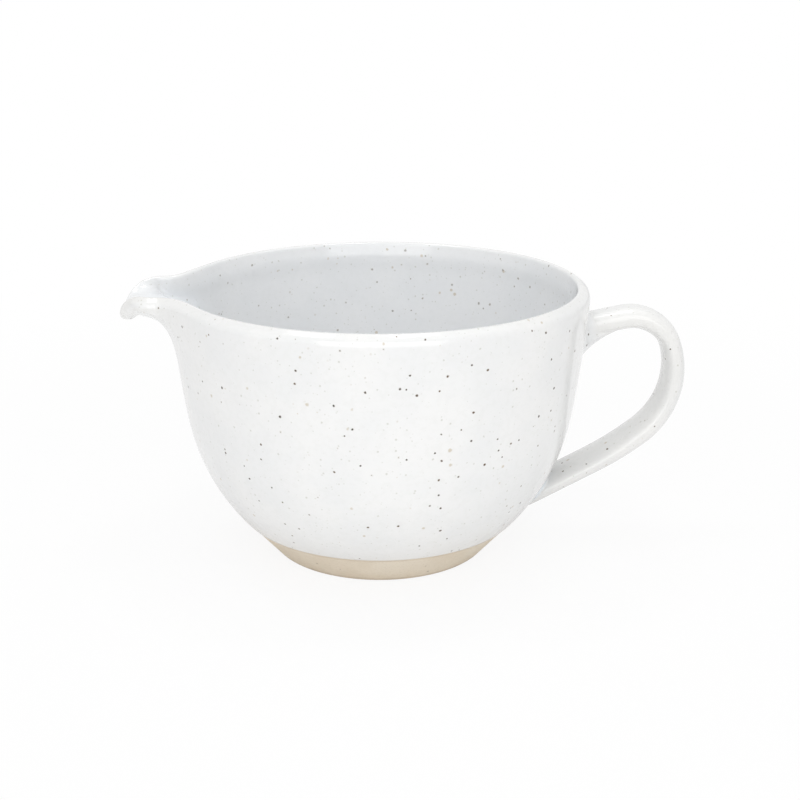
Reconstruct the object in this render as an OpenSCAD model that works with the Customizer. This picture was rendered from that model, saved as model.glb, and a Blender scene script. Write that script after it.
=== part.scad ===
// Batter bowl in glazed stoneware: a deep round bowl on a bare clay foot, a pulled pouring spout
// with a curled lip, and a looped strap handle. Millimetres, Z up, the origin at the centre of the
// foot's underside, the spout towards -X and the handle towards +X.

/* [Bowl] */
// Outer diameter of the glazed bowl where the lip begins
rim_d = 230; // [190:1:270]
// Height from the table to the crest of the rim
height = 152; // [130:1:180]
// Thickness of the wall with its two glaze coats
wall_t = 7; // [5.5:0.1:8.5]
// Lean of the wall outwards at the rim, in degrees
wall_lean_a = 2.8; // [1:0.1:5]
// Radius of the slow curve of the upper wall, seen in section
upper_r = 600; // [400:10:900]
// Share of the height at which the upper wall turns into the belly
upper_share = 0.52; // [0.45:0.01:0.6]
// Height of the inside floor above the table
floor_t = 9; // [7:0.5:12]
// Radius of the curve between the inside floor and the wall
floor_round = 22; // [12:1:30]

/* [Foot] */
// Diameter of the flat underside with its rounded edge
foot_d = 125; // [105:1:135]
// Height of the bare foot, up to the glaze line
foot_h = 20; // [14:0.5:24]
// Diameter of the glazed wall at the glaze line
glaze_line_d = 159; // [148:1:166]
// Radius of the rounded edge under the foot
foot_edge_r = 2; // [1:0.25:3]

/* [Rim] */
// Drop from the crest of the rim to the start of its outer rounding
lip_drop = 5.4; // [4.5:0.1:7]
// Radius of the outer rounding of the rim
lip_out_r = 4.2; // [3:0.1:4.8]
// Radius of the crest, at the inner edge of the rim
lip_in_r = 2; // [1.5:0.1:2.5]

/* [Glaze] */
// Thickness of the fired glaze coat
glaze_t = 0.5; // [0.3:0.05:0.8]

/* [Spout] */
// Half of the angle of the rim that the spout takes up, in degrees
spout_a = 29; // [26:0.5:34]
// Reach of the lip's outer edge at the nose beyond the rim
spout_reach = 19.7; // [15:0.1:24]
// Reach of the channel's straight sides beyond the rim
spout_side = 5.2; // [3:0.1:8]
// Width of the spout over its sides
spout_w = 62; // [50:0.5:66]
// Height of the wall that is pulled out, measured down from the lip's edge
spout_pull = 34; // [28:0.5:40]
// Drop of the lip's outer edge at the nose
spout_drop = 10.6; // [8:0.1:14]
// Drop of the lip along the sides of the spout
spout_dip = 1.5; // [0:0.1:3]
// Angle through which the lip curls over at the nose, in degrees
spout_curl_a = 138; // [110:1:142]
// Fullness of the curve under the middle of the nose, as a share of an even curve
spout_keel_share = 1.8; // [1.4:0.05:2.4]
// Fullness of the curve under the sides of the nose, as a share of an even curve
spout_full_share = 2.6; // [1.6:0.05:2.8]
// Fullness of the hook over the nose, as a share of an even curve
spout_hook_share = 1.35; // [1:0.05:2]
// Share by which the sides are tucked in under the lip
spout_tuck_share = 0.58; // [0:0.02:0.6]

/* [Handle] */
// Drop from the crest of the rim to the middle of the handle's upper end
handle_drop = 26.7; // [20:0.1:34]
// Width of the strap at its upper end
strap_w = 18; // [14:0.5:26]
// Width of the strap at its lower end
strap_low_w = 28.5; // [20:0.5:32]
// Thickness of the strap
strap_t = 10; // [9:0.1:12]
// Radius of the strap's long edges
strap_round = 4.4; // [3:0.1:4.4]
// Upward angle of the strap where it leaves the wall, in degrees
stub_a = 11.2; // [0:0.1:20]
// Length of the straight upper end, from the wall to the first bend
stub_l = 23.9; // [14:0.1:32]
// Radius of the upper bend, along the middle of the strap
bend_r = 23.3; // [18:0.1:30]
// Angle of the upper bend, in degrees
bend_a = 82.6; // [70:0.1:90]
// Radius of the slow curve of the lower part
low_r = 172; // [120:1:220]
// Angle of the slow curve of the lower part, in degrees
low_a = 12; // [8:1:16]
// Radius of the last bend, by which the lower end is pressed to the wall
press_r = 16; // [14:0.5:22]
// Angle of that bend, in degrees
press_a = 14; // [10:1:20]
// Angle of the strap's lower end to the line midway between the wall and the upright, in degrees
land_a = 58.5; // [52:0.1:66]
// Least strip of glazed wall between the glaze line and the fillet of the lower end
joint_gap = 0.3; // [0.2:0.1:12]
// Reach of the slip fillet at the upper end
upper_slip = 9; // [5:0.5:11]
// Reach of the slip fillet at the lower end
lower_slip = 2.5; // [2:0.1:3]
// Share by which the fillets reach further under the strap than over it
slip_sag_share = 0.35; // [0:0.05:0.4]

/* [Hidden] */
// Facets of a full turn
$fn = 96;
// Colours of the bare clay, the glazed slip, the outer coat and the liner coat
clay = [0.80, 0.745, 0.675];
slip = [0.87, 0.90, 0.93];
coat = [0.955, 0.96, 0.96];
liner = [0.90, 0.915, 0.925];

// Clearance that keeps touching curved pieces from cutting into each other
seat = 0.05;
// Length by which cutting shapes stand out of what they cut
over = 6;
// Halvings with which a meeting with the wall is found
halvings = 30;

function heading(a) = [cos(a), sin(a)];
function side_of(a) = [-sin(a), cos(a)];
function turned(list) = [for (i = [len(list) - 1 : -1 : 0]) list[i]];
// Points of an arc about c from angle a to angle b
function arc(c, r, a, b, n) = [for (k = [0 : n]) c + r * heading(a + (b - a) * k / n)];

// The outer wall in section: the slow upper arc, then the belly arc that meets it without a corner
rim_r = rim_d / 2;
z_rim = height - lip_drop;
upper_c = [rim_r, z_rim] - upper_r * heading(-wall_lean_a);
z_turn = height * upper_share;
a_turn = asin((upper_c[1] - z_turn) / upper_r);
turn_p = upper_c + upper_r * heading(-a_turn);
run = [glaze_line_d / 2, foot_h] - turn_p;
belly_r = -(run * run) / (2 * (run * heading(-a_turn)));
belly_c = turn_p - belly_r * heading(-a_turn);
a_line = asin((belly_c[1] - foot_h) / belly_r);
// 1 where the belly swells, -1 where it draws in
bow = sign(belly_r);

// Radius of the glazed outside at height z
function wall_r(z) = z > z_turn
    ? upper_c[0] + sqrt(pow(upper_r, 2) - pow(upper_c[1] - z, 2))
    : belly_c[0] + bow * sqrt(pow(belly_r, 2) - pow(belly_c[1] - z, 2));

// The rim in section: an outer rounding and a crest, joined by their common tangent
lip_o = [rim_r, z_rim] - lip_out_r * heading(-wall_lean_a);
crest_z = height - lip_in_r;
crest_arm = upper_r - wall_t + lip_in_r;
crest = [upper_c[0] + sqrt(crest_arm * crest_arm - pow(upper_c[1] - crest_z, 2)), crest_z];
lip_v = crest - lip_o;
lip_tan = atan2(lip_v[1], lip_v[0]) - acos((lip_out_r - lip_in_r) / norm(lip_v));

// The curve between the inside floor and the wall
floor_arm = belly_r - wall_t - floor_round;
floor_z = floor_t + floor_round;
a_floor = asin((belly_c[1] - floor_z) / floor_arm);
floor_c = belly_c + floor_arm * heading(-a_floor);

// The rounded edge under the foot, up to where the cone of the foot leaves it
edge_c = [foot_d / 2 - foot_edge_r, foot_edge_r];
cone_v = belly_c + (belly_r - glaze_t) * heading(-a_line) - edge_c;
a_cone = atan2(cone_v[1], cone_v[0]) - acos(foot_edge_r / norm(cone_v));

// Steps along the belly, the upper wall, the two arcs of the rim, the curve at the floor and the
// rounded edges of the foot and the strap
belly_steps = 16;
upper_steps = 12;
lip_steps = 4;
crest_steps = 8;
floor_steps = 12;
edge_steps = 5;

// The rim's rounding in the frame of the lip, in through the wall and up along it,
// e behind the glazed surface
crest_in = [lip_v * -heading(-wall_lean_a) + lip_out_r, lip_v * side_of(-wall_lean_a)];
a_tan = 180 - (lip_tan + wall_lean_a);
function lip_round(e) = concat(
    arc([lip_out_r, 0], lip_out_r - e, 180, a_tan, lip_steps),
    arc(crest_in, lip_in_r - e, a_tan, 0, crest_steps));
// Number of the rim's points that the outer coat takes, up to the crest
crest_pts = lip_steps + crest_steps / 2 + 2;

// The edge of the foot from the axis to the cone
function foot_pts() = concat([[0, 0]], arc(edge_c, foot_edge_r, -90, a_cone, edge_steps));
// The wall from the glaze line up to the lip, e behind the glazed outside
function wall_pts(e) = concat(
    arc(belly_c, belly_r - e, -a_line, -a_turn, belly_steps),
    [for (k = [1 : upper_steps - 1]) upper_c
        + (upper_r - e) * heading(-a_turn + (a_turn - wall_lean_a) * k / upper_steps)]);
// The rim from the point number from to the point number to, e behind the glazed surface
function lip_pts(e, from, to) = [for (k = [from : to]) [rim_r, z_rim]
    - lip_round(e)[k][0] * heading(-wall_lean_a) + lip_round(e)[k][1] * side_of(-wall_lean_a)];
// The inside from below the rim down to the axis, e behind the glazed inside
function hollow_pts(e) = concat(
    arc(upper_c, upper_r - wall_t + e, -wall_lean_a, -a_turn, upper_steps),
    [for (k = [1 : belly_steps]) belly_c
        + (belly_r - wall_t + e) * heading(-a_turn + (a_turn - a_floor) * k / belly_steps)],
    [for (k = [1 : floor_steps]) floor_c
        + (floor_round + e) * heading(-a_floor + (a_floor - 90) * k / floor_steps)],
    [[0, floor_t - e]]);
last_lip = lip_steps + crest_steps + 1;

// The spout's grid: columns along the nose and along the root of the lip, rows up the wall
nose_steps = 9;
root_steps = 7;
rise_steps = 9;
// Share of the lip that belongs to the nose
nose_part_share = 0.52;
// How far the nose's plan runs straight across at its tip and back at its corners
nose_flat_share = 0.57;
nose_corner_share = 1.03;
// How far the lip follows the round of the rim before it leaves it, and the line of the nose after it
root_ease_share = 0.9;
root_lead_share = 0.7;
// How closely the drop and the curl gather at the middle of the nose
nose_gather_share = 4.4;
z_pull = z_rim - spout_pull;
a_pull = asin((upper_c[1] - z_pull) / upper_r);
spout_tip = rim_r + spout_reach;
spout_out = rim_r + spout_side;
root_arm = (rim_r * sin(spout_a) - spout_w / 2) * root_ease_share;

// The handle's lower end: where its middle line meets the wall, above the glaze line by the clear
// strip, the fillet and half of the strap, the heading with which it lands there, and the straight
// length before it, which the fillet needs on the strap's short side
meet_a = land_a - a_line / 2;
land_l = joint_gap + lower_slip * (1 + slip_sag_share) + (strap_t / 2 + glaze_t) / sin(meet_a);
a_land = a_line - land_l / belly_r * 180 / PI;
land_p = belly_c + belly_r * heading(-a_land);
end_a = -90 - a_land / 2 - land_a;
end_l = lower_slip * (1 - slip_sag_share) + (strap_t / 2 + glaze_t + seat) / tan(meet_a);
end_p = land_p - end_l * heading(end_a);
press_c = end_p - press_r * side_of(end_a);
low_end = end_a + press_a;
press_p = press_c + press_r * side_of(low_end);

// The handle's middle line from the wall round the upper bend
stub_p = [wall_r(height - handle_drop), height - handle_drop];
bend_p = stub_p + stub_l * heading(stub_a);
bend_c = bend_p - bend_r * side_of(stub_a);
bend_end = stub_a - bend_a;
side_p = bend_c + bend_r * side_of(bend_end);

// The outer bend and the straight run to the lower end, that close the line between the two ends
side_end = low_end + low_a;
side_a = bend_end - side_end;
side_v = side_of(side_end) - side_of(bend_end);
close_v = press_p - side_p - low_r * (side_of(low_end) - side_of(side_end));
side_r = cross(close_v, heading(low_end)) / cross(side_v, heading(low_end));
side_c = side_p - side_r * side_of(bend_end);
low_p = side_c + side_r * side_of(side_end);
low_c = low_p - low_r * side_of(side_end);

// Points across the strap's two flat faces
flat_steps = 4;
// Rows of the concave curve of a slip fillet
slip_steps = 4;
// Rows of the strap round the upper bend, the outer bend, the lower part and the last bend
bend_steps = 12;
side_steps = 12;
low_steps = 5;
press_steps = 4;

function unit(v) = v / norm(v);
function bez(p, t) = pow(1 - t, 3) * p[0] + 3 * t * pow(1 - t, 2) * p[1]
    + 3 * t * t * (1 - t) * p[2] + pow(t, 3) * p[3];
function bez_dir(p, t) = unit(pow(1 - t, 2) * (p[1] - p[0]) + 2 * t * (1 - t) * (p[2] - p[1])
    + t * t * (p[3] - p[2]));

// Half section of the clay bowl
module bowl_area() {
    polygon(concat(foot_pts(), wall_pts(glaze_t), lip_pts(glaze_t, 0, last_lip),
        hollow_pts(glaze_t)));
}

// Half section of the coat on the outside, from the glaze line to the crest of the rim
module coat_area() {
    polygon(concat(
        wall_pts(0), lip_pts(0, 0, crest_pts - 1),
        turned(concat(wall_pts(glaze_t), lip_pts(glaze_t, 0, crest_pts - 1)))));
}

// Half section of the coat on the inside, from the crest of the rim to the floor
module liner_area() {
    polygon(concat(
        lip_pts(glaze_t, crest_pts - 1, last_lip), hollow_pts(glaze_t),
        turned(concat(lip_pts(0, crest_pts - 1, last_lip), hollow_pts(0)))));
}

// The window in the wall that the spout fills
module spout_window() {
    arm = [cos(a_pull), -sin(a_pull)];
    p_out = [wall_r(z_pull), z_pull] + over * arm;
    p_in = [wall_r(z_pull), z_pull] - (wall_t + over) * arm;
    z_top = height + over;
    rotate([0, 0, 180 - spout_a])
        rotate_extrude(angle = 2 * spout_a)
            polygon([p_in, p_out, [p_out[0] + over, z_top], [p_in[0], z_top]]);
}

// Where along half of the lip a column stands: 0 at the nose, 1 at the root
function col_v(c) = c <= nose_steps
    ? nose_part_share * c / nose_steps
    : nose_part_share + (1 - nose_part_share) * (c - nose_steps) / root_steps;
// How much of the nose's drop and curl a column takes
function nose_share(v) = v < nose_part_share ? pow(cos(90 * v / nose_part_share), nose_gather_share) : 0;
// How much of the sides' dip a column takes
function side_share(v) = v < nose_part_share
    ? 1
    : pow(cos(90 * (v - nose_part_share) / (1 - nose_part_share)), 2);
// Plan of the lip's outer edge, outwards and sideways
function nose_curve() = [[spout_tip, 0], [spout_tip, spout_w / 2 * nose_flat_share],
    [spout_out + (spout_tip - spout_out) * nose_corner_share, spout_w / 2], [spout_out, spout_w / 2]];
function root_curve() = [[spout_out, spout_w / 2],
    [spout_out - spout_side * root_lead_share, spout_w / 2],
    rim_r * heading(spout_a) - root_arm * side_of(spout_a), rim_r * heading(spout_a)];
function plan_p(v) = v < nose_part_share
    ? bez(nose_curve(), v / nose_part_share)
    : bez(root_curve(), (v - nose_part_share) / (1 - nose_part_share));
function plan_dir(v) = v < nose_part_share
    ? bez_dir(nose_curve(), v / nose_part_share)
    : bez_dir(root_curve(), (v - nose_part_share) / (1 - nose_part_share));
// From plan and height to the frame of the part; s is the side, -1 or 1
function place(p, s, z) = [-p[0], s * p[1], z];
// The lip's frame in a column: outwards, then up along the lip, then in through the wall
function lip_out(v, s) = place([plan_dir(v)[1], -plan_dir(v)[0]], s, 0);
function lip_turn(v) = wall_lean_a + spout_curl_a * nose_share(v);
function lip_up(v, s) = sin(lip_turn(v)) * lip_out(v, s) + [0, 0, cos(lip_turn(v))];
function lip_in(v, s) = -cos(lip_turn(v)) * lip_out(v, s) + [0, 0, sin(lip_turn(v))];
function lip_edge(v, s) = place(plan_p(v), s,
    z_rim - spout_drop * nose_share(v) - spout_dip * side_share(v));
// The curve up a column from the wall to the lip's edge, on the glazed surface that lies
// in behind the outside; tuck draws it in under the lip
function rise(v, s, in, tuck) = let(
        a = v * spout_a,
        wall_in = [-cos(a_pull), sin(a_pull)],
        from = place((wall_r(z_pull) + in * wall_in[0]) * heading(a), s, z_pull + in * wall_in[1]),
        to = lip_edge(v, s) + in * lip_in(v, s),
        arm = norm(to - from) / 3,
        full = spout_full_share + (spout_keel_share - spout_full_share) * nose_share(v),
        low_arm = arm * (1 + (full - 1) * side_share(v)),
        top_arm = arm * (1 + (spout_hook_share - 1) * nose_share(v)
            - tuck * side_share(v) * (1 - nose_share(v))),
        wall_up = place(sin(a_pull) * heading(a), s, cos(a_pull)))
    [from, from + low_arm * wall_up, to - top_arm * lip_up(v, s), to];

half_cols = nose_steps + root_steps;
cols = [for (c = [-half_cols : half_cols]) c];
col_s = [for (c = cols) c < 0 ? -1 : 1];
col_vs = [for (c = cols) col_v(abs(c))];
outer_rise = [for (i = [0 : len(cols) - 1]) rise(col_vs[i], col_s[i], 0, spout_tuck_share)];
inner_rise = [for (i = [0 : len(cols) - 1]) rise(col_vs[i], col_s[i], wall_t, 0)];
// A point of column i at row r, moved by e through the wall
function rise_p(list, i, r) = bez(list[i], r / rise_steps);
function across(list, i, r) = i == 0 || i == len(cols) - 1
    ? place(side_of(spout_a), col_s[i], 0) * col_s[i]
    : rise_p(list, i + 1, r) - rise_p(list, i - 1, r);
function shell_p(list, i, r, e) = rise_p(list, i, r)
    + e * unit(cross(across(list, i, r), bez_dir(list[i], r / rise_steps)));

// One column of the spout: up the outside, over the lip and down the inside
function column(i, e) = let(
        v = col_vs[i],
        s = col_s[i],
        p = lip_edge(v, s),
        u = lip_up(v, s),
        n = lip_in(v, s))
    concat(
        [for (r = [0 : rise_steps - 1]) shell_p(outer_rise, i, r, e)],
        [for (q = lip_round(e)) p + q[0] * n + q[1] * u],
        [for (r = [rise_steps : -1 : 0]) shell_p(inner_rise, i, r, -e)]);
function skin(e) = [for (i = [0 : len(cols) - 1]) column(i, e)];

// Two triangles of a four-sided face
function quad(a, b, c, d) = [[a, b, c], [a, c, d]];
function flat(list) = [for (part = list) each part];
function flip(faces) = [for (f = faces) [f[2], f[1], f[0]]];
// Faces of a grid of points that is given column by column
function grid_faces(n_col, n_row, base) = flat([for (i = [0 : n_col - 2], r = [0 : n_row - 2])
    quad(base + i * n_row + r, base + i * n_row + r + 1,
        base + (i + 1) * n_row + r + 1, base + (i + 1) * n_row + r)]);
// Faces of one end of the spout, across the wall and then round the lip
function end_faces(n_row, base) = concat(
    flat([for (r = [0 : rise_steps - 1]) quad(base + r, base + n_row - 1 - r,
        base + n_row - 2 - r, base + r + 1)]),
    [for (r = [rise_steps + 1 : n_row - rise_steps - 3]) [base + rise_steps, base + r + 1, base + r]],
    [[base + rise_steps, base + n_row - 1 - rise_steps, base + n_row - 2 - rise_steps]]);

module spout_clay() {
    sheet_pts = skin(glaze_t);
    n_col = len(sheet_pts);
    n_row = len(sheet_pts[0]);
    last = (n_col - 1) * n_row;
    polyhedron(flat(sheet_pts), flip(concat(
        grid_faces(n_col, n_row, 0),
        flat([for (i = [0 : n_col - 2]) quad(i * n_row, (i + 1) * n_row,
            (i + 2) * n_row - 1, (i + 1) * n_row - 1)]),
        end_faces(n_row, 0),
        flip(end_faces(n_row, last)))));
}

module spout_coat() {
    top = skin(0);
    under = skin(glaze_t);
    n_col = len(top);
    n_row = len(top[0]);
    total = n_col * n_row;
    last = total - n_row;
    polyhedron(concat(flat(top), flat(under)), flip(concat(
        grid_faces(n_col, n_row, 0),
        flip(grid_faces(n_col, n_row, total)),
        flat([for (r = [0 : n_row - 2]) quad(r, total + r, total + r + 1, r + 1)]),
        flat([for (r = [0 : n_row - 2]) quad(last + r, last + r + 1,
            total + last + r + 1, total + last + r)]),
        flat([for (i = [0 : n_col - 2]) quad(i * n_row, (i + 1) * n_row,
            total + (i + 1) * n_row, total + i * n_row)]),
        flat([for (i = [0 : n_col - 2]) quad((i + 1) * n_row - 1, total + (i + 1) * n_row - 1,
            total + (i + 2) * n_row - 1, (i + 2) * n_row - 1)]))));
}

// Points round the strap's section of width w, e outside the clay, with their outward directions:
// x through its thickness, y across its width
function strap_edge(w, e) = [for (q = [0 : 3], k = [0 : edge_steps + (q % 2) * (flat_steps - 1)])
    let(
        a = 90 * (q + min(k / edge_steps, 1)),
        along = 1 - 2 * max(k - edge_steps, 0) / flat_steps,
        sx = q == 0 || q == 3 ? 1 : -1,
        sy = q < 2 ? 1 : -1,
        mid = [sx * (strap_t / 2 - strap_round), sy * along * (w / 2 - strap_round)])
    [mid + (strap_round + e) * heading(a), heading(a)]];

// Rows of the strap's middle line round an arc about c: place, heading, and the share of the
// way round the handle, from from to to
function bend_rows(c, r, a, turn, n, from, to) = [for (k = [0 : n])
    let(h = a - turn * k / n)
    [c + r * side_of(h), h, from + (to - from) * k / n]];
bend_l = bend_r * bend_a;
side_l = side_r * side_a;
low_l = low_r * low_a;
bend_share = bend_l / (bend_l + side_l + low_l);
side_end_share = (bend_l + side_l) / (bend_l + side_l + low_l);
strap_rows = concat(
    bend_rows(bend_c, bend_r, stub_a, bend_a, bend_steps, 0, bend_share),
    [for (k = [1 : side_steps])
        bend_rows(side_c, side_r, bend_end, side_a, side_steps, bend_share, side_end_share)[k]],
    [for (k = [1 : low_steps])
        bend_rows(low_c, low_r, side_end, low_a, low_steps, side_end_share, 1)[k]],
    bend_rows(press_c, press_r, low_end, press_a, press_steps, 1, 1));
// Stretch within which an end of the strap meets the wall
end_span = wall_t + 2 * strap_t;

// The strap's section of width w set across its middle line at p with heading a
function strap_ring(p, a, w, e) = [for (q = strap_edge(w, e))
    [p[0] + q[0][0] * sin(a), q[0][1], p[1] - q[0][0] * cos(a)]];
// All sections of the strap from wall to wall, e outside the clay and gap away from the wall
function strap_rings(e, gap) = concat(
    [[for (q = strap_ring(stub_p, stub_a, strap_w, e))
        wall_hit(q, [cos(stub_a), 0, sin(stub_a)], gap, end_span)]],
    [for (row = strap_rows)
        strap_ring(row[0], row[1], strap_w + (strap_low_w - strap_w) * row[2], e)],
    [[for (q = strap_ring(end_p, end_a, strap_low_w, e))
        wall_hit(q, -[cos(end_a), 0, sin(end_a)], gap, end_span)]]);

// A straight length of strap of width w from p, with seat round it
module strap_run(p, a, l, w) {
    translate([p[0], 0, p[1]])
        rotate([0, 90 - a, 0])
            linear_extrude(l) polygon([for (q = strap_edge(w, seat)) q[0]]);
}

// Distance of a point from the glazed outside of the wall
function off_wall(p) = let(q = [norm([p[0], p[1]]), p[2]])
    p[2] > z_turn ? norm(q - upper_c) - upper_r : bow * norm(q - belly_c) - belly_r;
// Distance from p along d to the place gap away from the wall, found by halving a stretch
function to_wall(p, d, gap, low, high, n) = let(
        mid = (low + high) / 2,
        far = off_wall(p + mid * d) > gap)
    n == 0 ? mid : to_wall(p, d, gap, far ? low : mid, far ? mid : high, n - 1);
function wall_hit(p, d, gap, span) = p + to_wall(p, d, gap, -span, span, halvings) * d;

// The wall's outward direction at p, and p moved level onto the glazed wall
function wall_a(z) = z > z_turn
    ? asin((upper_c[1] - z) / upper_r)
    : asin((belly_c[1] - z) / belly_r);
function wall_n(p) = let(level = unit([p[0], p[1]]) * cos(wall_a(p[2])))
    [level[0], level[1], -sin(wall_a(p[2]))];
function on_wall(p) = let(level = unit([p[0], p[1]]) * (wall_r(p[2]) + seat))
    [level[0], level[1], p[2]];

// Faces round a tube whose rings of n points follow each other from the point number base on
function tube_faces(n, rings, base) = flat([for (i = [0 : rings - 2], k = [0 : n - 1])
    quad(base + i * n + k, base + i * n + (k + 1) % n,
        base + (i + 1) * n + (k + 1) % n, base + (i + 1) * n + k)]);

// The strap's clay, set against the clay of the wall
module strap_clay() {
    rings = strap_rings(0, seat - glaze_t);
    n = len(rings[0]);
    last = (len(rings) - 1) * n;
    polyhedron(flat(rings), flip(concat(
        tube_faces(n, len(rings), 0),
        [for (k = [1 : n - 2]) [0, k + 1, k]],
        [for (k = [1 : n - 2]) [last, last + k, last + k + 1]])));
}

// The coat round the strap, from wall to wall
module strap_coat() {
    top = strap_rings(glaze_t, seat);
    under = strap_rings(0, seat);
    n = len(top[0]);
    total = len(top) * n;
    last = total - n;
    polyhedron(concat(flat(top), flat(under)), flip(concat(
        tube_faces(n, len(top), 0),
        flip(tube_faces(n, len(top), total)),
        flat([for (k = [0 : n - 1]) quad(k, total + k, total + (k + 1) % n, (k + 1) % n)]),
        flat([for (k = [0 : n - 1]) quad(last + k, last + (k + 1) % n,
            total + last + (k + 1) % n, total + last + k)]))));
}

// The slip fillet round a strap end of width w: p is near the wall, a is the strap's heading
// away from it
module slip_fillet(p, a, w, reach) {
    d = [cos(a), 0, sin(a)];
    nx = [sin(a), 0, -cos(a)];
    ny = [0, 1, 0];
    edge = strap_edge(w, glaze_t + seat);
    n = len(edge);
    ring = [for (s = edge)
        let(
            on_strap = [p[0], 0, p[1]] + s[0][0] * nx + s[0][1] * ny,
            away = s[1][0] * nx + s[1][1] * ny,
            corner = wall_hit(on_strap, d, seat, end_span),
            n_wall = wall_n(corner),
            long = reach * (1 + slip_sag_share * s[1][0]),
            foot = on_wall(corner + long * unit(away - (away * n_wall) * n_wall)),
            top = corner + long * d)
        concat([corner], [for (k = [0 : slip_steps])
            let(t = k / slip_steps)
            pow(1 - t, 2) * foot + 2 * t * (1 - t) * corner + t * t * top])];
    m = slip_steps + 2;
    polyhedron(flat(ring), flat([for (i = [0 : n - 1], r = [0 : m - 1])
        quad(i * m + r, i * m + (r + 1) % m,
            ((i + 1) % n) * m + (r + 1) % m, ((i + 1) % n) * m + r)]));
}

// The clay bowl with its foot, open at the spout
module bowl_body() {
    color(clay)
        difference() {
            rotate_extrude() bowl_area();
            spout_window();
        }
}

// The clay of the spout, pulled out of the wall and curled over at the nose
module pouring_spout() {
    color(clay) spout_clay();
}

// The clay strap, pulled wider towards its lower end
module handle() {
    color(clay) strap_clay();
}

// The slip fillet at the handle's upper end
module upper_slip_joint() {
    color(slip) slip_fillet(stub_p, stub_a, strap_w, upper_slip);
}

// The slip fillet at the handle's lower end
module lower_slip_joint() {
    color(slip) slip_fillet(end_p, end_a + 180, strap_low_w, lower_slip);
}

// The coat on the outside of the bowl, open at the spout and under the handle's ends
module outer_glaze() {
    color(coat)
        difference() {
            rotate_extrude() coat_area();
            spout_window();
            strap_run(stub_p - wall_t * heading(stub_a), stub_a, end_span, strap_w);
            strap_run(end_p, end_a, end_span, strap_low_w);
        }
}

// The liner coat on the inside of the bowl, open at the spout
module inner_glaze() {
    color(liner)
        difference() {
            rotate_extrude() liner_area();
            spout_window();
        }
}

// The coat over the spout
module spout_glaze() {
    color(coat) spout_coat();
}

// The coat round the strap, from wall to wall
module handle_glaze() {
    color(coat) strap_coat();
}

bowl_body();
pouring_spout();
handle();
upper_slip_joint();
lower_slip_joint();
outer_glaze();
inner_glaze();
spout_glaze();
handle_glaze();
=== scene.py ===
import math
import bpy
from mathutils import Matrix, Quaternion, Vector


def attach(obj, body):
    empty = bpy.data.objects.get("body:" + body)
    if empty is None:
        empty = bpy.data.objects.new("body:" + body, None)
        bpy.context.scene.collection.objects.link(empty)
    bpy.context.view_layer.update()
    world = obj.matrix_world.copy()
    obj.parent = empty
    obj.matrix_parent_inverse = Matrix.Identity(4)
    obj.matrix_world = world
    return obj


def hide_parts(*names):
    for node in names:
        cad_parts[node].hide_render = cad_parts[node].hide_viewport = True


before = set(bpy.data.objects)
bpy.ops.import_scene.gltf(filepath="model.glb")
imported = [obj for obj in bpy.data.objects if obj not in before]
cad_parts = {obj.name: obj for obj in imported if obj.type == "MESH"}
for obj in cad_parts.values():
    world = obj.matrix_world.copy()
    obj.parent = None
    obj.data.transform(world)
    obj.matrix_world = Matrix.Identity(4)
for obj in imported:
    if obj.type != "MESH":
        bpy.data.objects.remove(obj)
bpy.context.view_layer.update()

# Glazed bowl
# The thrown stoneware bowl in its coat of white glaze: one closed skin that runs from the glaze line
# up the outside, over the soft rim and down the inside to the floor. The profile is drawn point by
# point and turned about the axis, with closer steps where the spout will be pulled.
mm = 0.001
rim_r, height, wall_t = 115.0, 152.0, 7.0
wall_lean, upper_r, upper_share = 2.8, 600.0, 0.52
floor_t, floor_round = 9.0, 22.0
glaze_line_r, foot_h = 79.5, 20.0
lip_drop, lip_out_r, lip_in_r = 5.4, 4.2, 2.0
spout_a, spout_pull = 29.0, 34.0
rise_steps, lip_steps, crest_steps = 10, 4, 6
spout_columns, round_columns = 64, 150
edge_rise = 1.2
under_points = ((0, 7), (30, 7), (52, 7), (66, 11), (75.5, 18.6))
edge_points = ((78.7, 19.75), (79.5, 20.05), (80.0, 20.6))


def heading(a):
    return Vector((math.cos(math.radians(a)), math.sin(math.radians(a))))


def side_of(a):
    return Vector((-math.sin(math.radians(a)), math.cos(math.radians(a))))


def arc(c, r, a, b, n):
    return [c + r * heading(a + (b - a) * k / n) for k in range(n + 1)]


z_rim = height - lip_drop
rim_p = Vector((rim_r, z_rim))
upper_c = rim_p - upper_r * heading(-wall_lean)
z_turn = height * upper_share
a_turn = math.degrees(math.asin((upper_c.y - z_turn) / upper_r))
turn_p = upper_c + upper_r * heading(-a_turn)
run = Vector((glaze_line_r, foot_h)) - turn_p
belly_r = -run.dot(run) / (2 * run.dot(heading(-a_turn)))
belly_c = turn_p - belly_r * heading(-a_turn)
a_line = math.degrees(math.asin((belly_c.y - foot_h - edge_rise) / belly_r))
z_pull = z_rim - spout_pull
a_pull = math.degrees(math.asin((upper_c.y - z_pull) / upper_r))
lip_o = rim_p - lip_out_r * heading(-wall_lean)
crest_arm = upper_r - wall_t + lip_in_r
crest_z = height - lip_in_r
crest = Vector((upper_c.x + math.sqrt(crest_arm ** 2 - (upper_c.y - crest_z) ** 2), crest_z))
lip_v = crest - lip_o
lip_tan = math.degrees(math.atan2(lip_v.y, lip_v.x) - math.acos((lip_out_r - lip_in_r) / lip_v.length))
floor_arm = belly_r - wall_t - floor_round
a_floor = math.degrees(math.asin((belly_c.y - floor_t - floor_round) / floor_arm))
floor_c = belly_c + floor_arm * heading(-a_floor)
crest_in = Vector((lip_out_r - lip_v.dot(heading(-wall_lean)), lip_v.dot(side_of(-wall_lean))))
a_tan = 180 - (lip_tan + wall_lean)
lip = arc(Vector((lip_out_r, 0)), lip_out_r, 180, a_tan, lip_steps)[1:]
lip += arc(crest_in, lip_in_r, a_tan, 0, crest_steps)

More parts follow.
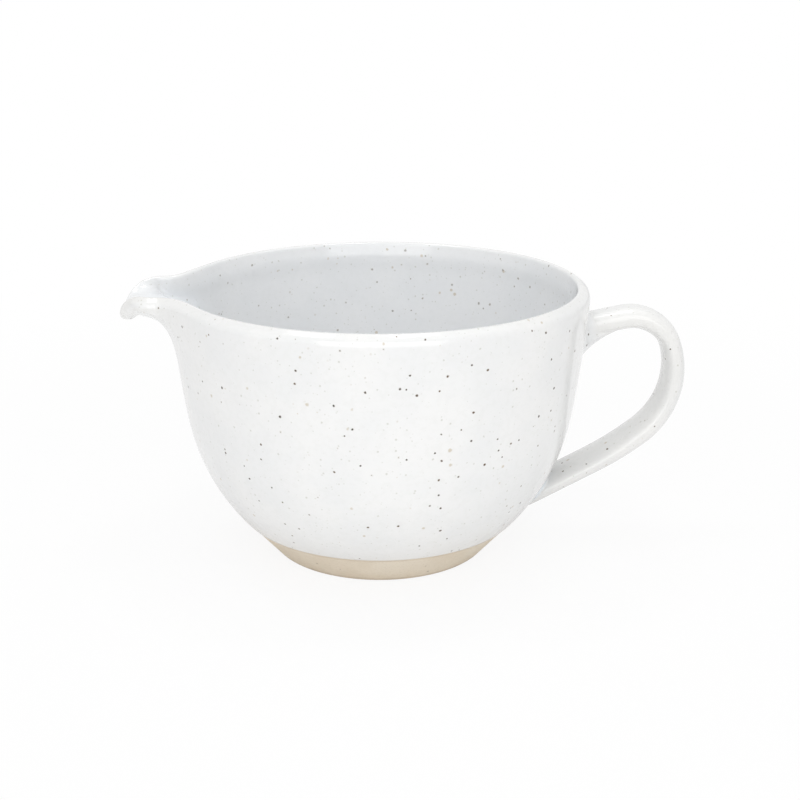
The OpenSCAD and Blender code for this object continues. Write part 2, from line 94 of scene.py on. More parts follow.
rows = [("hidden", Vector(p)) for p in under_points]
rows += [("edge", Vector(p)) for p in edge_points]
rows += [("wall", p) for p in arc(belly_c, belly_r, -a_line, -a_turn, 14)[:-1]]
rows += [("wall", p) for p in arc(upper_c, upper_r, -a_turn, -a_pull, 6)[:-1]]
rows += [("rise", p) for p in arc(upper_c, upper_r, -a_pull, -wall_lean, rise_steps)]
rows += [("lip", rim_p - q.x * heading(-wall_lean) + q.y * side_of(-wall_lean)) for q in lip]
rows += [("fall", p) for p in arc(upper_c, upper_r - wall_t, -wall_lean, -a_pull, rise_steps)]
rows += [("inner", p) for p in arc(upper_c, upper_r - wall_t, -a_pull, -a_turn, 6)[1:]]
rows += [("inner", p) for p in arc(belly_c, belly_r - wall_t, -a_turn, -a_floor, 11)[1:]]
rows += [("inner", p) for p in arc(floor_c, floor_round, -a_floor, -90, 7)[1:]]
rows += [("inner", Vector((floor_c.x * k / 4, floor_t))) for k in (3, 2, 1, 0)]


def turned(name, points, start_a, spins):
    way = heading(start_a)
    line = [Vector((p.x * way.x, p.x * way.y, p.y)) * mm for p in points]
    bpy.ops.object.select_all(action="DESELECT")
    bpy.ops.mesh.primitive_plane_add(size=mm)
    made = bpy.context.active_object
    made.name = made.data.name = name
    bpy.ops.object.mode_set(mode="EDIT")
    bpy.ops.mesh.select_all(action="SELECT")
    bpy.ops.mesh.merge(type="CENTER")
    bpy.ops.transform.translate(value=line[0])
    for a, b in zip(line, line[1:]):
        bpy.ops.mesh.extrude_region_move(TRANSFORM_OT_translate={"value": b - a})
    bpy.ops.mesh.select_all(action="SELECT")
    for steps, angle in spins:
        bpy.ops.mesh.spin(steps=steps, angle=math.radians(angle), center=(0, 0, 0), axis=(0, 0, 1))
    bpy.ops.mesh.select_all(action="SELECT")
    bpy.ops.mesh.remove_doubles(threshold=2e-6)
    bpy.ops.mesh.normals_make_consistent(inside=False)
    bpy.ops.object.mode_set(mode="OBJECT")
    return made


spins = ((spout_columns, 2 * spout_a), (round_columns, 360 - 2 * spout_a))
shell = turned("glazed_bowl", [p for _, p in rows], 180 + spout_a, spins)

# Pouring spout
# The potter pulls the spout out of the wet rim: each column of the turned wall moves onto a curve that
# leaves the wall below and rises to the lip's edge, which is drawn out, lowered and curled at the nose.
spout_reach, spout_side, spout_w = 19.7, 5.2, 62.0
spout_drop, spout_dip, spout_curl = 11.4, 1.5, 138.0
spout_keel, spout_full, spout_hook, spout_tuck = 1.8, 2.6, 1.35, 0.58
nose_part, nose_flat, nose_corner, nose_gather = 0.52, 0.57, 1.03, 4.4
root_ease, root_lead = 0.9, 0.7
rim_swell, inner_swell, roll_from, roll_span = 0.45, 0.9, 0.62, 0.5
tint_lead, tint_rows, crest_rows = 2, 7, 4
crest_thin, edge_thin, lip_thin, channel_pool = 0.5, 0.8, 0.7, 0.6
ease_factor, ease_rounds = 0.5, 16
spout_tip, spout_out = rim_r + spout_reach, rim_r + spout_side
root_arm = (rim_r * math.sin(math.radians(spout_a)) - spout_w / 2) * root_ease
nose_corner_x = spout_out + (spout_tip - spout_out) * nose_corner
nose_curve = [Vector((spout_tip, 0)), Vector((spout_tip, spout_w / 2 * nose_flat)),
              Vector((nose_corner_x, spout_w / 2)), Vector((spout_out, spout_w / 2))]
root_curve = [Vector((spout_out, spout_w / 2)), Vector((spout_out - spout_side * root_lead, spout_w / 2)),
              rim_r * heading(spout_a) - root_arm * side_of(spout_a), rim_r * heading(spout_a)]


def bez(p, t):
    u = 1 - t
    return p[0] * u ** 3 + p[1] * (3 * t * u ** 2) + p[2] * (3 * t * t * u) + p[3] * t ** 3


def bez_dir(p, t):
    u = 1 - t
    return ((p[1] - p[0]) * u ** 2 + (p[2] - p[1]) * (2 * t * u) + (p[3] - p[2]) * t * t).normalized()


def place(p, s, z):
    return Vector((-p.x, s * p.y, z))


def pulled_column(v, s):
    nosed = v < nose_part
    t = v / nose_part if nosed else (v - nose_part) / (1 - nose_part)
    nose = math.cos(math.radians(90 * t)) ** nose_gather if nosed else 0.0
    side = 1.0 if nosed else math.cos(math.radians(90 * t)) ** 2
    curve = nose_curve if nosed else root_curve
    p, d = bez(curve, t), bez_dir(curve, t)
    out = place(Vector((d.y, -d.x)), s, 0)
    turn = math.radians(wall_lean + spout_curl * nose)
    up = math.sin(turn) * out + math.cos(turn) * Vector((0, 0, 1))
    inwards = -math.cos(turn) * out + math.sin(turn) * Vector((0, 0, 1))
    edge = place(p, s, z_rim - spout_drop * nose - spout_dip * side)
    pull, a = math.radians(a_pull), v * spout_a
    wall_up = place(math.sin(pull) * heading(a), s, math.cos(pull))
    full = 1 + (spout_full + (spout_keel - spout_full) * nose - 1) * side
    curves = []
    for depth, tuck in ((0, spout_tuck), (wall_t, 0)):
        start_r = (upper_c + upper_r * heading(-a_pull)).x - depth * math.cos(pull)
        start = place(start_r * heading(a), s, z_pull + depth * math.sin(pull))
        end = edge + depth * inwards
        arm = (end - start).length / 3
        hook = 1 + (spout_hook - 1) * nose - tuck * side * (1 - nose)
        curves.append([start, start + arm * full * wall_up, end - arm * hook * up, end])
    outer, inner = curves
    return {"rise": [bez(outer, k / rise_steps) for k in range(rise_steps + 1)],
            "lip": [edge + q.x * inwards + q.y * up for q in lip],
            "fall": [bez(inner, 1 - k / rise_steps) for k in range(rise_steps + 1)],
            "nose": nose, "side": side}


zones = [zone for zone, _ in rows]
first = {zone: zones.index(zone) for zone in ("rise", "lip", "fall")}
crest_row = first["lip"] + lip_steps + crest_steps // 2
inside = shell.data.attributes.new("inside", "FLOAT", "POINT")
pool = shell.data.attributes.new("pool", "FLOAT", "POINT")
thin_glaze_and_shade = shell.data.attributes.new("thin_glaze_and_shade", "FLOAT", "POINT")
row_of, columns, eased = {}, {}, {}
for vert in shell.data.vertices:
    r, z = math.hypot(vert.co.x, vert.co.y) / mm, vert.co.z / mm
    key = (round(r, 2), round(z, 2))
    if key not in row_of:
        row_of[key] = min(range(len(rows)), key=lambda n: (rows[n][1] - Vector((r, z))).length)
    i = row_of[key]
    zone = rows[i][0]
    a = math.degrees(math.atan2(vert.co.y, -vert.co.x))
    v, s = abs(a) / spout_a, (1 if a >= 0 else -1)
    inside.data[vert.index].value = min(1.0, max(0.0, (i - crest_row + tint_lead) / tint_rows))
    thin_glaze_and_shade.data[vert.index].value = max(0.0, 1 - abs(i - crest_row + tint_lead) / crest_rows) * crest_thin
    if zone == "edge":
        thin_glaze_and_shade.data[vert.index].value = edge_thin
    if zone not in ("rise", "lip", "fall"):
        continue
    swell = 1.0
    if v < 0.999:
        key = (round(v, 4), s)
        if key not in columns:
            columns[key] = pulled_column(v, s)
        column, k = columns[key], i - first[zone]
        vert.co = column[zone][k] * mm
        swell = 1 - column["side"]
        if zone == "fall":
            deep = 1 - k / rise_steps
            eased[vert.index] = column["side"] * min(1.0, 4 * (1 - deep), 4 * deep + 0.3)
            wet = max(0.0, math.sin(math.pi * min(1.0, deep * 1.1))) ** 0.5
            pool.data[vert.index].value = channel_pool * column["side"] * wet
        thin_glaze_and_shade.data[vert.index].value *= 1 + column["side"] * (1 - column["nose"])
        if zone == "rise":
            thin_glaze_and_shade.data[vert.index].value += lip_thin * column["side"] * (k / rise_steps) ** 4
            eased[vert.index] = column["nose"] * (k / rise_steps) ** 2 if k < rise_steps else 0.0
    if zone in ("rise", "fall"):
        k = (i - first["rise"]) / rise_steps if zone == "rise" else 1 - (i - first["fall"]) / rise_steps
        roll = math.sin(math.pi * min(1.0, max(0.0, (k - roll_from) / roll_span))) ** 2 * swell
        out = Vector((vert.co.x, vert.co.y, 0)).normalized() * mm
        vert.co += out * roll * (rim_swell if zone == "rise" else -inner_swell)
bpy.ops.object.shade_smooth()
channel = shell.vertex_groups.new(name="channel")
for index, weight in eased.items():
    channel.add([index], weight, "REPLACE")
ease = shell.modifiers.new("ease", "SMOOTH")
ease.vertex_group = "channel"
ease.factor, ease.iterations = ease_factor, ease_rounds
bpy.ops.object.modifier_apply(modifier="ease")
smooth = shell.modifiers.new("smooth", "SUBSURF")
smooth.levels = smooth.render_levels = 1
smooth.use_limit_surface = False
bpy.ops.object.modifier_apply(modifier="smooth")

# Glaze
# A milky white coat with iron spots that bled out of the clay, ochre and ash-grey flecks, a bluish tint
# where it pooled and a warm one where it ran thin over the edges; on the strap handle that warm tint is
# also painted shade over the whole strap. All glazed pieces share this look.
speckle = bpy.data.node_groups.new("speckled_glaze", "ShaderNodeTree")
speckle.interface.new_socket("Color", in_out="OUTPUT", socket_type="NodeSocketColor")
speckle.interface.new_socket("Roughness", in_out="OUTPUT", socket_type="NodeSocketFloat")
speckle.interface.new_socket("Height", in_out="OUTPUT", socket_type="NodeSocketFloat")
gn, gl = speckle.nodes, speckle.links
out = gn.new("NodeGroupOutput")
where = gn.new("ShaderNodeTexCoord").outputs["Object"]


def math_node(nodes, links, kind, a, b=0.0):
    node = nodes.new("ShaderNodeMath")
    node.operation = kind
    for socket, value in zip(node.inputs, (a, b)):
        if isinstance(value, (int, float)):
            socket.default_value = value
        else:
            links.new(value, socket)
    return node.outputs[0]


def ramp(nodes, links, value, low, high, to_low=0.0, to_high=1.0):
    node = nodes.new("ShaderNodeMapRange")
    node.interpolation_type = "SMOOTHSTEP"
    links.new(value, node.inputs["Value"])
    for name, number in (("From Min", low), ("From Max", high), ("To Min", to_low), ("To Max", to_high)):
        node.inputs[name].default_value = number
    return node.outputs["Result"]


def mixed(nodes, links, share, most, a, b):
    node = nodes.new("ShaderNodeMix")
    node.data_type = "RGBA"
    links.new(math_node(nodes, links, "MULTIPLY", share, most), node.inputs[0])
    for index, value in ((6, a), (7, b)):
        if isinstance(value, tuple):
            node.inputs[index].default_value = (*value, 1)
        else:
            links.new(value, node.inputs[index])
    return node.outputs[2]


def noise(nodes, links, coords, scale, detail):
    node = nodes.new("ShaderNodeTexNoise")
    node.inputs["Scale"].default_value = scale
    node.inputs["Detail"].default_value = detail
    links.new(coords, node.inputs["Vector"])
    return node


def read(nodes, name):
    node = nodes.new("ShaderNodeAttribute")
    node.attribute_name = name
    return node.outputs["Fac"]


def spots(nodes, links, coords, spacing, radius, soft, spread, seed):
    shift = nodes.new("ShaderNodeVectorMath")
    shift.operation = "ADD"
    shift.inputs[1].default_value = (seed, seed * 0.7, seed * 1.3)
    links.new(coords, shift.inputs[0])
    cell = nodes.new("ShaderNodeTexVoronoi")
    cell.inputs["Scale"].default_value = 1 / spacing
    cell.inputs["Randomness"].default_value = 1.0
    links.new(shift.outputs[0], cell.inputs["Vector"])
    split = nodes.new("ShaderNodeSeparateColor")
    links.new(cell.outputs["Color"], split.inputs[0])
    least, most = radius * (1 - spread) / spacing, radius * (1 + spread) / spacing
    size = ramp(nodes, links, split.outputs[0], 0, 1, least, most)
    left = math_node(nodes, links, "SUBTRACT", size, cell.outputs["Distance"])
    return ramp(nodes, links, left, 0, soft / spacing), split.outputs[1]


wobble = noise(gn, gl, where, 900, 1)
bent = gn.new("ShaderNodeVectorMath")
bent.operation = "MULTIPLY_ADD"
gl.new(wobble.outputs["Color"], bent.inputs[0])
bent.inputs[1].default_value = (0.0006, 0.0006, 0.0006)
gl.new(where, bent.inputs[2])
coords = bent.outputs[0]
cloud = noise(gn, gl, where, 30, 3).outputs["Fac"]
mottle = noise(gn, gl, where, 330, 4).outputs["Fac"]
tone = mixed(gn, gl, ramp(gn, gl, cloud, 0.35, 0.65), 1.0, (0.835, 0.84, 0.84), (0.865, 0.865, 0.86))
tone = mixed(gn, gl, ramp(gn, gl, mottle, 0.45, 0.68), 0.1, tone, (0.68, 0.69, 0.65))
within = read(gn, "inside")
tone = mixed(gn, gl, within, 0.3, tone, (0.82, 0.85, 0.89))
tone = mixed(gn, gl, read(gn, "pool"), 0.35, tone, (0.80, 0.88, 0.97))
# Warm tint: thin glaze over rims and edges, and on the strap handle also painted shade that darkens the
# whole strap.
tone = mixed(gn, gl, read(gn, "thin_glaze_and_shade"), 0.2, tone, (0.64, 0.61, 0.53))
pepper, _ = spots(gn, gl, coords, 0.0028, 0.00042, 0.0004, 0.4, 1.9)
tone = mixed(gn, gl, pepper, 0.34, tone, (0.44, 0.45, 0.36))
ash, _ = spots(gn, gl, coords, 0.0045, 0.00058, 0.0005, 0.45, 3.1)
tone = mixed(gn, gl, ash, 0.4, tone, (0.42, 0.42, 0.33))
ochre, _ = spots(gn, gl, coords, 0.0098, 0.00095, 0.0007, 0.45, 7.7)
tone = mixed(gn, gl, ochre, 0.5, tone, (0.46, 0.34, 0.17))
halo, _ = spots(gn, gl, coords, 0.0073, 0.001, 0.0005, 0.2, 0.0)
dark, shade = spots(gn, gl, coords, 0.0073, 0.0007, 0.0003, 0.2, 0.0)
dark = math_node(gn, gl, "MULTIPLY", dark, ramp(gn, gl, within, 0, 1, 1.0, 0.5))
tone = mixed(gn, gl, halo, 0.25, tone, (0.46, 0.38, 0.26))
iron = mixed(gn, gl, ramp(gn, gl, shade, 0.35, 0.85), 1.0, (0.02, 0.013, 0.009), (0.10, 0.055, 0.022))
tone = mixed(gn, gl, dark, 0.93, tone, iron)
gl.new(tone, out.inputs["Color"])
gl.new(ramp(gn, gl, mottle, 0.3, 0.7, 0.07, 0.12), out.inputs["Roughness"])
waves = noise(gn, gl, where, 75, 2).outputs["Fac"]
peel = math_node(gn, gl, "ADD", waves, math_node(gn, gl, "MULTIPLY", mottle, 0.12))
gl.new(math_node(gn, gl, "SUBTRACT", peel, math_node(gn, gl, "MULTIPLY", dark, 0.1)), out.inputs["Height"])

glaze = bpy.data.materials.new("speckled_white_glaze")
glaze.use_nodes = True
look = glaze.node_tree.nodes.new("ShaderNodeGroup")
look.node_tree = speckle
bump = glaze.node_tree.nodes.new("ShaderNodeBump")
bump.inputs["Strength"].default_value = 0.35
bump.inputs["Distance"].default_value = 0.0008
shader = glaze.node_tree.nodes["Principled BSDF"]
shader.inputs["IOR"].default_value = 1.5
shader.inputs["Coat Weight"].default_value = 0.5
shader.inputs["Coat Roughness"].default_value = 0.03
glaze.node_tree.links.new(look.outputs["Height"], bump.inputs["Height"])
glaze.node_tree.links.new(look.outputs["Color"], shader.inputs["Base Color"])
glaze.node_tree.links.new(look.outputs["Roughness"], shader.inputs["Roughness"])
glaze.node_tree.links.new(bump.outputs["Normal"], shader.inputs["Normal"])
shell.data.materials.append(glaze)
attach(shell, "root")
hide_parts("outer_glaze", "inner_glaze", "spout_glaze", "pouring_spout")

# Bare clay foot
# The foot of the thrown bowl below the glaze line, turned on the wheel when leather-hard and left bare:
# a rounded lower edge, a plain cone, and the clay that runs on up behind the edge of the glaze.
foot_r, foot_edge, foot_columns = 62.5, 2.0, 180
cone_top = Vector((78.75, 19.9))
flat_points = ((0, 0), (30, 0), (52, 0))
behind_points = ((78.3, 20.7), (76.2, 20.6), (69.5, 13.6), (58, 8.2), (30, 8), (0, 8))
edge_c = Vector((foot_r - foot_edge, foot_edge))
foot_rows = [Vector(p) for p in flat_points] + arc(edge_c, foot_edge, -90, -42, 6)
cone_low = foot_rows[-1]
foot_rows += [cone_low + (cone_top - cone_low) * k / 9 for k in range(1, 10)]
foot_rows += [Vector(p) for p in behind_points]
foot = turned("clay_foot", foot_rows, 0, ((foot_columns, 360),))
bpy.ops.object.shade_smooth_by_angle(angle=math.radians(40))

clay = bpy.data.materials.new("bare_stoneware")
clay.use_nodes = True
cn, cl = clay.node_tree.nodes, clay.node_tree.links
spot = cn.new("ShaderNodeTexCoord").outputs["Object"]
grain = noise(cn, cl, spot, 900, 4).outputs["Fac"]
drift = noise(cn, cl, spot, 45, 3).outputs["Fac"]
tall = cn.new("ShaderNodeSeparateXYZ")
cl.new(spot, tall.inputs[0])
warm_buff, pale_buff = (0.775, 0.685, 0.56), (0.825, 0.745, 0.625)
buff = mixed(cn, cl, ramp(cn, cl, drift, 0.35, 0.65), 1.0, warm_buff, pale_buff)
buff = mixed(cn, cl, ramp(cn, cl, grain, 0.5, 0.72), 0.25, buff, (0.60, 0.51, 0.40))
buff = mixed(cn, cl, ramp(cn, cl, tall.outputs["Z"], 0.0175, 0.0199), 0.45, buff, (0.50, 0.37, 0.25))
# Painted shade: the clay darker towards the bottom edge, where the foot turns under towards the floor.
buff = mixed(cn, cl, ramp(cn, cl, tall.outputs["Z"], 0.003, 0.0005), 0.4, buff, (0.48, 0.37, 0.26))
fleck, _ = spots(cn, cl, spot, 0.0075, 0.0006, 0.0003, 0.4, 5.3)
buff = mixed(cn, cl, fleck, 0.45, buff, (0.20, 0.13, 0.08))
bump = cn.new("ShaderNodeBump")
bump.inputs["Strength"].default_value = 0.5
bump.inputs["Distance"].default_value = 0.0003
cl.new(grain, bump.inputs["Height"])
shader = cn["Principled BSDF"]
shader.inputs["IOR"].default_value = 1.4
cl.new(buff, shader.inputs["Base Color"])
cl.new(ramp(cn, cl, grain, 0.3, 0.7, 0.72, 0.9), shader.inputs["Roughness"])
cl.new(bump.outputs["Normal"], shader.inputs["Normal"])
foot.data.materials.append(clay)
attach(foot, "root")
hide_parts("bowl_body")

# Strap handle
# The handle is a pulled strap of clay with soft edges, bent to an ear and glazed all round. It leaves
# the wall at a rising angle, grows wider on its way round and ends blunt on the belly, above the foot.
strap_w, strap_low_w, strap_t = 19.4, 30.0, 10.6
handle_drop, stub_a, stub_l = 26.7, 11.2, 23.9
bends = [(23.3, 82.6, 14), (46.1, 68.9, 14), (172.0, 12.0, 6)]
tail_l, tail_steps, sink = 42.0, 14, 4.0
end_z, end_soft = 20.9, 0.9
ring_n, ring_power = 48, 0.86
# The first tint share is painted shade, a warm tint laid over the whole strap to darken the handle; the
# second adds thin glaze over the strap's side edges.
stub_steps, strap_painted_shade, strap_edge_thin = 6, 0.4, 0.35
# Ring of the strap, and how far it swells there past its even thickness, outside and inside the ear.
swells = [(0, 1.6, 0.5), (6, 1.5, 0.6), (13, 0.8, 0.9), (20, 0.6, 0.0), (27, 1.5, 0.0),
          (34, 2.1, -0.3), (38, 1.2, -0.4), (40, 0.6, -0.6), (54, 0.8, -0.5)]


def wall_r(z):
    c, r = (upper_c, upper_r) if z > z_turn else (belly_c, belly_r)
    return c.x + math.sqrt(r * r - (c.y - z) ** 2)


def strap_section(w, t_back, t_front):
    ring = []
    for k in range(ring_n):
        c, s = heading(360 * (k + 0.5) / ring_n)
        x = abs(c) ** ring_power * t_front if c > 0 else -abs(c) ** ring_power * t_back
        ring.append((x, math.copysign(abs(s) ** ring_power, s) * w / 2))
    return ring


def swell_at(k):
    i = max(j for j in range(len(swells) - 1) if swells[j][0] <= k)
    (k0, *a), (k1, *b) = swells[i], swells[i + 1]
    return [u + (v - u) * (k - k0) / (k1 - k0) for u, v in zip(a, b)]


# Painted shade over the whole strap, plus thin glaze towards its side edges.
def strap_shade_and_thin_edge(share):
    return strap_painted_shade + strap_edge_thin * min(1.0, share) ** 6


def blunt(z):
    over = (z - end_z) / end_soft
    return z if over > 30 else end_z + end_soft * math.log1p(math.exp(over))


stub_p = Vector((wall_r(height - handle_drop), height - handle_drop))
start = stub_p - sink * heading(stub_a)
bpy.ops.object.select_all(action="DESELECT")
bpy.ops.mesh.primitive_circle_add(vertices=ring_n, radius=1)
strap = bpy.context.active_object
strap.name = strap.data.name = "strap_handle"
for vert, (x, y) in zip(strap.data.vertices, strap_section(strap_w, strap_t / 2, strap_t / 2)):
    across = start - x * side_of(stub_a)
    vert.co = Vector((across.x, y, across.y)) * mm
bpy.ops.object.mode_set(mode="EDIT")
bpy.ops.mesh.select_all(action="SELECT")


def straight(length, steps, a):
    step = length / steps * heading(a) * mm
    for _ in range(steps):
        bpy.ops.mesh.extrude_region_move(TRANSFORM_OT_translate={"value": (step.x, 0, step.y)})


shares, ways = [0.0] * (stub_steps + 1), [stub_a] * (stub_steps + 1)
straight(stub_l + sink, stub_steps, stub_a)
total, done = sum(r * turn for r, turn, _ in bends), 0.0
at, way = stub_p + stub_l * heading(stub_a), stub_a
for r, turn, steps in bends:
    c = at - r * side_of(way)
    hub = (c.x * mm, 0, c.y * mm)
    bpy.ops.mesh.spin(steps=steps, angle=-math.radians(turn), center=hub, axis=(0, 1, 0))
    shares += [(done + r * turn * k / steps) / total for k in range(1, steps + 1)]
    ways += [way - turn * k / steps for k in range(1, steps + 1)]
    done, way = done + r * turn, way - turn
    at = c + r * side_of(way)
tail_p, tail_way = at, way
straight(tail_l, tail_steps, tail_way)
shares, ways = shares + [1.0] * tail_steps, ways + [tail_way] * tail_steps
bpy.ops.object.mode_set(mode="OBJECT")
# Each strap point gets the painted shade of the whole handle and the thin-glaze tint at its edges.
strap_shade_and_thin_layer = strap.data.attributes.new("thin_glaze_and_shade", "FLOAT", "POINT")
for k, (share, way) in enumerate(zip(shares, ways)):
    ring = strap.data.vertices[k * ring_n:(k + 1) * ring_n]
    mid = sum((vert.co for vert in ring), Vector()) / ring_n
    out = Vector((side_of(way).x, 0, side_of(way).y))
    outer, inner = swell_at(k)
    for vert in ring:
        strap_shade_and_thin_layer.data[vert.index].value = strap_shade_and_thin_edge(abs(vert.co.y) / (strap_w / 2 * mm))
        x = (vert.co - mid).dot(out)
        vert.co += x * 2 / strap_t * (outer if x > 0 else inner) * out
        vert.co.y *= 1 + (strap_low_w / strap_w - 1) * share
        vert.co.z = blunt(vert.co.z / mm) * mm
bpy.ops.object.mode_set(mode="EDIT")
bpy.ops.mesh.select_all(action="DESELECT")
bpy.ops.mesh.select_non_manifold(extend=False, use_wire=False, use_boundary=True, use_multi_face=False,
                                 use_non_contiguous=False, use_verts=False)
bpy.ops.mesh.fill()
bpy.ops.mesh.select_all(action="SELECT")
bpy.ops.mesh.normals_make_consistent(inside=False)
bpy.ops.object.mode_set(mode="OBJECT")
bpy.ops.object.shade_smooth()
strap.data.materials.append(glaze)
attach(strap, "root")
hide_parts("handle", "handle_glaze")

# Slip joints
# At each end the strap is luted to the wall with slip, which the potter smooths to a hollow fillet that
# reaches further under the strap than over it. The glaze pools in it and looks faintly blue.
slip_steps, slip_tuck, slip_root, slip_seat = 24, 0.12, 1.5, 0.985
slip_floor = end_z - 0.2
upper_ring, lower_ring, lower_l = 3, 50, 28.0


def off_wall(p):
    c, r = (upper_c, upper_r) if p.z > z_turn else (belly_c, belly_r)
    return (Vector((math.hypot(p.x, p.y), p.z)) - c).length - r


def wall_normal(p):
    c, r = (upper_c, upper_r) if p.z > z_turn else (belly_c, belly_r)
    level = Vector((p.x, p.y)).normalized() * ((math.hypot(p.x, p.y) - c.x) / r)
    return Vector((level.x, level.y, (p.z - c.y) / r)).normalized()


def wall_hit(p, d, span):
    low, high = -span, span
    for _ in range(30):
        mid = (low + high) / 2
        if off_wall(p + mid * d) > 0:
            high = mid
        else:
            low = mid
    return p + low * d


def onto_wall(p):
    return p - off_wall(p) * wall_normal(p)


def slip_joint(name, p, a, w, t_back, t_front, reach, sag, stretch, full, blue, node):
    d = Vector((math.cos(math.radians(a)), 0, math.sin(math.radians(a))))
    nx = Vector((math.sin(math.radians(a)), 0, -math.cos(math.radians(a))))
    ny = Vector((0, 1, 0))
    middle = Vector((p.x, 0, p.y))
    section = strap_section(w, t_back, t_front)
    points, pooled, shaded_and_thinned = [], [], []
    for k, (x, y) in enumerate(section):
        before, after = section[k - 1], section[(k + 1) % ring_n]
        away2 = Vector((after[1] - before[1], before[0] - after[0])).normalized()
        away = away2.x * nx + away2.y * ny
        # The fillet takes the strap's painted shade and thin-edge tint, fading to none at the wall.
        shade_and_thin = strap_shade_and_thin_edge(2 * abs(y) / w)
        corner = wall_hit(middle + x * nx + y * ny, d, 30)
        if corner.z < end_z:
            corner.z = blunt(corner.z)
            corner = onto_wall(corner)
        n_wall = wall_normal(corner)
        length = reach * (1 + sag * away2.x)
        flat = (away - away.dot(n_wall) * n_wall).normalized()
        foot_p = corner + length * flat
        foot_p = onto_wall(foot_p)
        if foot_p.z < end_z:
            level = Vector((foot_p.x, foot_p.y)).normalized() * wall_r(slip_floor)
            foot_p = Vector((level.x, level.y, slip_floor))
        foot_p -= slip_tuck * n_wall
        rise = (n_wall - n_wall.dot(away) * away).normalized()
        top_p = corner + length * (1 + stretch * max(0.0, away2.x)) * rise - middle
        x, y = top_p.dot(nx), top_p.dot(ny)
        thick = t_front if x > 0 else t_back
        past = (abs(x / thick) ** (2 / ring_power) + abs(2 * y / w) ** (2 / ring_power)) ** (ring_power / 2)
        top_p += middle + (x * nx + y * ny) * (slip_seat / past - 1)
        top_p.z = blunt(top_p.z)
        lean = 2 / 3 * (1 - full)
        fillet = [foot_p, foot_p + lean * (corner - foot_p), top_p + lean * (corner - top_p), top_p]
        for j in range(slip_steps + 1):
            t = j / slip_steps
            points.append(bez(fillet, t))
            pooled.append(blue * math.sin(math.pi * min(1.0, 1.2 * t)))
            shaded_and_thinned.append(shade_and_thin * t)
        points.append(corner - slip_root * n_wall - slip_root * away)
        pooled.append(0.0)
        shaded_and_thinned.append(0.0)
    m = slip_steps + 2
    faces = []
    for i in range(ring_n):
        here, there = i * m, (i + 1) % ring_n * m
        faces += [(here + j, there + j, there + (j + 1) % m, here + (j + 1) % m) for j in range(m)]
    mesh = bpy.data.meshes.new(name)
    mesh.from_pydata([q * mm for q in points], [], faces)
    joint = bpy.data.objects.new(name, mesh)
    bpy.context.collection.objects.link(joint)
    bpy.ops.object.select_all(action="DESELECT")
    bpy.context.view_layer.objects.active = joint
    joint.select_set(True)
    mesh.attributes.new("pool", "FLOAT", "POINT").data.foreach_set("value", pooled)
    mesh.attributes.new("thin_glaze_and_shade", "FLOAT", "POINT").data.foreach_set("value", shaded_and_thinned)
    bpy.ops.object.mode_set(mode="EDIT")
    bpy.ops.mesh.select_all(action="SELECT")
    bpy.ops.mesh.normals_make_consistent(inside=False)
    bpy.ops.object.mode_set(mode="OBJECT")
    bpy.ops.object.shade_smooth_by_angle(angle=math.radians(50))
    joint.data.materials.append(glaze)
    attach(joint, "root")
    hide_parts(node)


outer, inner = swell_at(upper_ring)
slip_joint("upper_slip", stub_p, stub_a, strap_w, strap_t / 2 + outer, strap_t / 2 + inner,
           reach=9.5, sag=0.45, stretch=0.7, full=0.4, blue=0.35, node="upper_slip_joint")
outer, inner = swell_at(lower_ring)
slip_joint("lower_slip", tail_p + lower_l * heading(tail_way), tail_way + 180, strap_low_w,
           strap_t / 2 + inner, strap_t / 2 + outer,
           reach=9.0, sag=0.0, stretch=0.0, full=0.55, blue=2.0, node="lower_slip_joint")

# Stage
# A plain pale floor that runs out of view, soft studio lamps and the camera at the photograph's angle.
bpy.ops.object.select_all(action="DESELECT")
bpy.ops.mesh.primitive_plane_add(size=60, location=(0, 0, -0.0002))
floor = bpy.context.active_object
floor.name = "floor"
paper = bpy.data.materials.new("pale_floor")
paper.use_nodes = True
pn, pl = paper.node_tree.nodes, paper.node_tree.links
pn["Principled BSDF"].inputs["Base Color"].default_value = (0.93, 0.93, 0.93, 1)
pn["Principled BSDF"].inputs["Roughness"].default_value = 0.9
ray = pn.new("ShaderNodeLightPath")
shown = math_node(pn, pl, "MAXIMUM", ray.outputs["Is Glossy Ray"], ray.outputs["Is Transmission Ray"])
shown = math_node(pn, pl, "MULTIPLY", shown, 0.35)
seen = math_node(pn, pl, "MAXIMUM", ray.outputs["Is Camera Ray"], shown)
white = pn.new("ShaderNodeEmission")
white.inputs["Strength"].default_value = 1.0
blend = pn.new("ShaderNodeMixShader")
spread_out = pn.new("ShaderNodeVectorMath")
spread_out.operation = "LENGTH"
pl.new(pn.new("ShaderNodeTexCoord").outputs["Object"], spread_out.inputs[0])
far = ramp(pn, pl, spread_out.outputs["Value"], 0.15, 0.7, 0.88, 1.0)
pl.new(math_node(pn, pl, "MULTIPLY", seen, far), blend.inputs[0])
pl.new(pn["Principled BSDF"].outputs[0], blend.inputs[1])
pl.new(white.outputs[0], blend.inputs[2])
pl.new(blend.outputs[0], pn["Material Output"].inputs["Surface"])
floor.data.materials.append(paper)

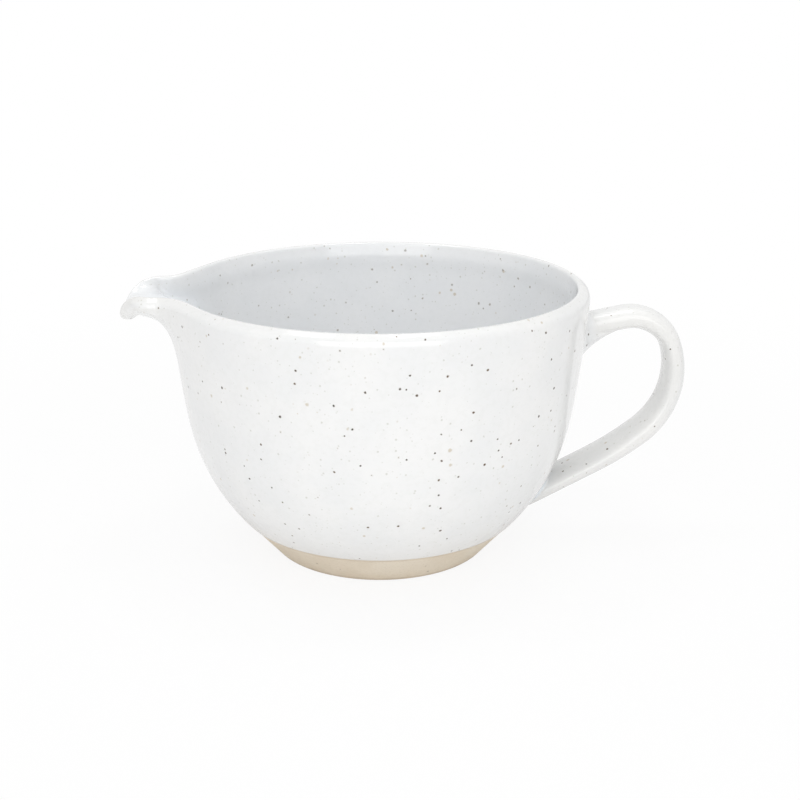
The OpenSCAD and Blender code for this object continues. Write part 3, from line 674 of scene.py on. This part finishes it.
world = bpy.data.worlds.new("studio")
bpy.context.scene.world = world
world.use_nodes = True
wn, wl = world.node_tree.nodes, world.node_tree.links
wn["Background"].inputs["Color"].default_value = (1, 1, 1, 1)
ray = wn.new("ShaderNodeLightPath")
shown = math_node(wn, wl, "MAXIMUM", ray.outputs["Is Glossy Ray"], ray.outputs["Is Transmission Ray"])
shown = math_node(wn, wl, "MULTIPLY", shown, 0.75)
seen = math_node(wn, wl, "MAXIMUM", ray.outputs["Is Camera Ray"], shown)
wl.new(ramp(wn, wl, seen, 0, 1, 0.63, 1.0), wn["Background"].inputs["Strength"])


def lamp(name, place_at, look_at, size, power):
    data = bpy.data.lights.new(name, "AREA")
    data.shape = "RECTANGLE"
    data.size, data.size_y = size
    data.energy = power
    made = bpy.data.objects.new(name, data)
    bpy.context.collection.objects.link(made)
    made.location = place_at
    made.rotation_euler = (Vector(look_at) - Vector(place_at)).to_track_quat("-Z", "Y").to_euler()


lamp("key", (-0.05, -1.8, 0.85), (0, 0, 0.08), (2.4, 1.6), 15.2)
lamp("left", (-0.45, 0.1, 1.5), (0, 0, 0.12), (0.3, 0.3), 1.7)
lamp("right", (0.2, 0.1, 1.5), (0, 0, 0.12), (0.3, 0.3), 1.7)
lamp("top", (0.1, 0.2, 2.2), (0, 0, 0.1), (2.2, 2.2), 7.0)

image_px, focal_px, centre_x_px, centre_y_px, sensor_mm = 800, 1318.3, 379.79, 411.92, 36
cam_data = bpy.data.cameras.new("camera")
cam_data.sensor_width = sensor_mm
cam_data.lens = focal_px / image_px * sensor_mm
cam_data.shift_x = (image_px / 2 - centre_x_px) / image_px
cam_data.shift_y = (centre_y_px - image_px / 2) / image_px
cam_data.clip_end = 200
cam = bpy.data.objects.new("camera", cam_data)
bpy.context.collection.objects.link(cam)
aim, cam_away = Vector((0, 0, 0.07595)), 0.7511
el, turn, roll = math.radians(18.638), math.radians(2), math.radians(-0.165)
level = Vector((-math.sin(turn), -math.cos(turn), 0)) * math.cos(el)
cam.location = aim + cam_away * (level + Vector((0, 0, math.sin(el))))
gaze = (aim - cam.location).to_track_quat("-Z", "Y")
cam.rotation_euler = (gaze @ Quaternion((0, 0, 1), roll)).to_euler()
bpy.context.scene.camera = cam
bpy.context.scene.view_settings.view_transform = "Standard"
